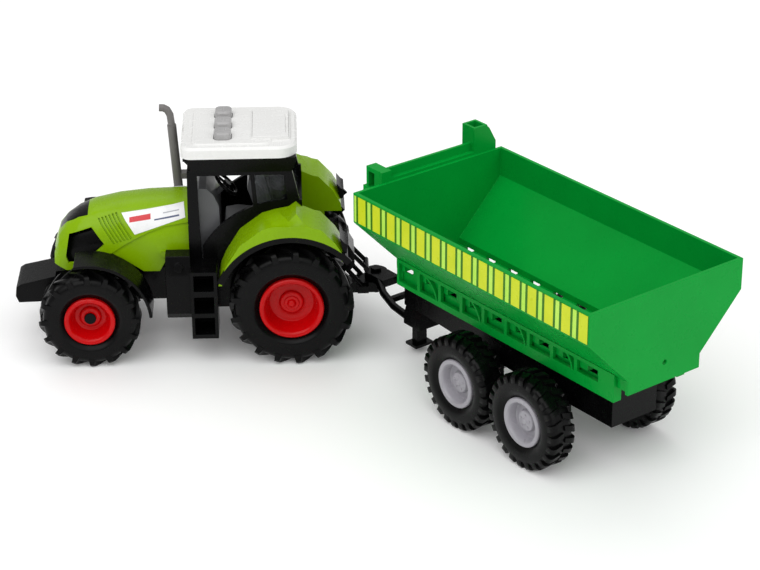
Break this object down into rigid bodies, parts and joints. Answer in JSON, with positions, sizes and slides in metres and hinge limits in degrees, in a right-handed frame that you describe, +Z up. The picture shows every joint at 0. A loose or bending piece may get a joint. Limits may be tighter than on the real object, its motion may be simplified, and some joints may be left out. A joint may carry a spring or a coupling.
{
  "type": "toy tractor with trailer",
  "caption": "Toy farm tractor with push-along friction drive, sound buttons in the roof and a hitched two-axle hopper trailer that swings on its pin.",
  "frame": {"origin": "centre of the bounding box of the hitched pair, on the ground", "axes": "+X is the tractor's forward direction, +Y its left side, +Z up"},
  "size_m": [0.3858, 0.2722, 0.1323],
  "materials": {
    "lime_plastic": "glossy moulded lime plastic",
    "black_plastic": "satin moulded black plastic",
    "cab_grey": "satin dark grey plastic",
    "exhaust_grey": "satin warm grey plastic",
    "white_plastic": "glossy white plastic",
    "grey_keys": "milky grey, a little translucent",
    "smoke_clear": "smoky clear plastic",
    "white_label": "printed paper-foil label with plain stripes",
    "red_plastic": "glossy red plastic",
    "amber_lens": "black moulded lamp block",
    "tyre_rubber": "matte black hollow rubber-like plastic",
    "grey_rims": "satin grey plastic",
    "green_plastic": "glossy green plastic",
    "stripe_foil": "printed foil sticker, yellow-green stripes",
    "steel": "bright drawn steel",
    "black_caps": "black plastic pin with round caps",
    "gear_white": "natural nylon",
    "board_green": "green circuit board",
    "speaker_black": "paper cone in a black ring"
  },
  "bodies": {
    "tractor_body": {"battery_cells": "steel", "battery_cover": "white_plastic", "bonnet": "lime_plastic", "cab_frame": "black_plastic", "cab_glass": "smoke_clear", "cab_interior": "cab_grey", "chassis_screws": "steel", "exhaust_stack": "exhaust_grey", "front_axle": "black_caps", "front_fender_left": "black_plastic", "front_fender_right": "black_plastic", "front_weight": "black_plastic", "hitch_pin": "black_plastic", "motor_case": "black_plastic", "nose_insert": "black_plastic", "rear_fender_left": "lime_plastic", "rear_fender_right": "lime_plastic", "roof": "white_plastic", "roof_tray": "black_plastic", "side_labels": "white_label", "sound_board": "board_green", "speaker": "speaker_black", "steering_wheel": "black_plastic", "step_unit_left": "black_plastic", "step_unit_right": "black_plastic", "tail_lamps": "amber_lens", "tow_hitch": "black_plastic", "tractor_chassis": "black_plastic"},
    "rear_wheels": {"rear_axle": "steel", "rear_rim_left": "red_plastic", "rear_rim_right": "red_plastic", "rear_tyre_left": "tyre_rubber", "rear_tyre_right": "tyre_rubber"},
    "motor_idler": {"motor_idler": "gear_white"},
    "motor_flywheel": {"motor_flywheel": "gear_white"},
    "front_wheel_left": {"front_rim_left": "red_plastic", "front_tyre_left": "tyre_rubber"},
    "front_wheel_right": {"front_rim_right": "red_plastic", "front_tyre_right": "tyre_rubber"},
    "button_left": {"button_left": "grey_keys"},
    "button_middle": {"button_middle": "grey_keys"},
    "button_right": {"button_right": "grey_keys"},
    "trailer": {"trailer_chassis": "black_plastic", "trailer_drawbar": "black_plastic", "trailer_hopper": "green_plastic", "trailer_panel_left": "green_plastic", "trailer_panel_right": "green_plastic", "trailer_headboard": "green_plastic", "stripe_stickers": "stripe_foil", "trailer_screws": "steel"},
    "trailer_front_wheels": {"trailer_front_axle": "steel", "trailer_front_rim_left": "grey_rims", "trailer_front_rim_right": "grey_rims", "trailer_front_tyre_left": "tyre_rubber", "trailer_front_tyre_right": "tyre_rubber"},
    "trailer_rear_wheels": {"trailer_rear_axle": "steel", "trailer_rear_rim_left": "grey_rims", "trailer_rear_rim_right": "grey_rims", "trailer_rear_tyre_left": "tyre_rubber", "trailer_rear_tyre_right": "tyre_rubber"}
  },
  "joints": [
    {"name": "rear_axle_spin", "type": "hinge", "parent": "tractor_body", "child": "rear_wheels", "pos_m": [0.03586, -0.08614, 0.035], "axis": [0, 1, 0], "continuous": true},
    {"name": "idler_spin", "type": "hinge", "parent": "tractor_body", "child": "motor_idler", "pos_m": [0.04668, -0.08614, 0.0379], "axis": [0, 1, 0], "continuous": true},
    {"name": "flywheel_spin", "type": "hinge", "parent": "tractor_body", "child": "motor_flywheel", "pos_m": [0.05682, -0.08614, 0.04062], "axis": [0, 1, 0], "continuous": true},
    {"name": "front_left_spin", "type": "hinge", "parent": "tractor_body", "child": "front_wheel_left", "pos_m": [0.14886, -0.04814, 0.0285], "axis": [0, 1, 0], "continuous": true},
    {"name": "front_right_spin", "type": "hinge", "parent": "tractor_body", "child": "front_wheel_right", "pos_m": [0.14886, -0.12414, 0.0285], "axis": [0, 1, 0], "continuous": true},
    {"name": "hitch_yaw", "type": "hinge", "parent": "tractor_body", "child": "trailer", "pos_m": [-0.01304, -0.08614, 0.033], "axis": [0, 0, 1], "range_deg": [-24, 132]},
    {"name": "trailer_front_spin", "type": "hinge", "parent": "trailer", "child": "trailer_front_wheels", "pos_m": [-0.08493, 0.01428, 0.0265], "axis": [0.8131, 0.5821, 0], "continuous": true},
    {"name": "trailer_rear_spin", "type": "hinge", "parent": "trailer", "child": "trailer_rear_wheels", "pos_m": [-0.11625, 0.05802, 0.0265], "axis": [0.8131, 0.5821, 0], "continuous": true},
    {"name": "button_left_press", "type": "slide", "parent": "tractor_body", "child": "button_left", "axis": [0, 0, -1], "range_m": [0, 0.0015], "stiffness_N_per_m": 200},
    {"name": "button_middle_press", "type": "slide", "parent": "tractor_body", "child": "button_middle", "axis": [0, 0, -1], "range_m": [0, 0.0015], "stiffness_N_per_m": 200},
    {"name": "button_right_press", "type": "slide", "parent": "tractor_body", "child": "button_right", "axis": [0, 0, -1], "range_m": [0, 0.0015], "stiffness_N_per_m": 200}
  ],
  "couplings": [
    {"joint": "idler_spin", "follows": "rear_axle_spin", "ratio": -3},
    {"joint": "flywheel_spin", "follows": "rear_axle_spin", "ratio": 8.25}
  ]
}
